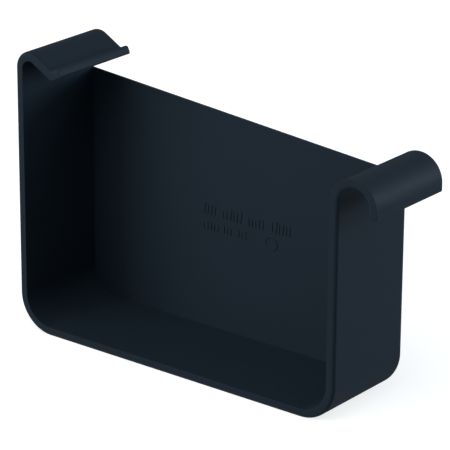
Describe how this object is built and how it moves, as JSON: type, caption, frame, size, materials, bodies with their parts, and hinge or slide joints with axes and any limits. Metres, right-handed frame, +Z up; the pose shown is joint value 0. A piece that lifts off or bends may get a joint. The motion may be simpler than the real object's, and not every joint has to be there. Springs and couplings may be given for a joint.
{
  "type": "gutter end cap",
  "caption": "One-piece moulded end cap for a box gutter, with a hook over the rear edge and a half-round shell over the front bead.",
  "frame": {"origin": "middle of the flat underside, on which the cap stands", "axes": "+X from the rear wall at the fascia to the front bead, +Y from the open rim to the end plate, +Z up"},
  "size_m": [0.1444, 0.038, 0.0975],
  "materials": {
    "moulded_pvc": "satin"
  },
  "bodies": {
    "root": {"end_cap": "moulded_pvc"}
  },
  "joints": []
}
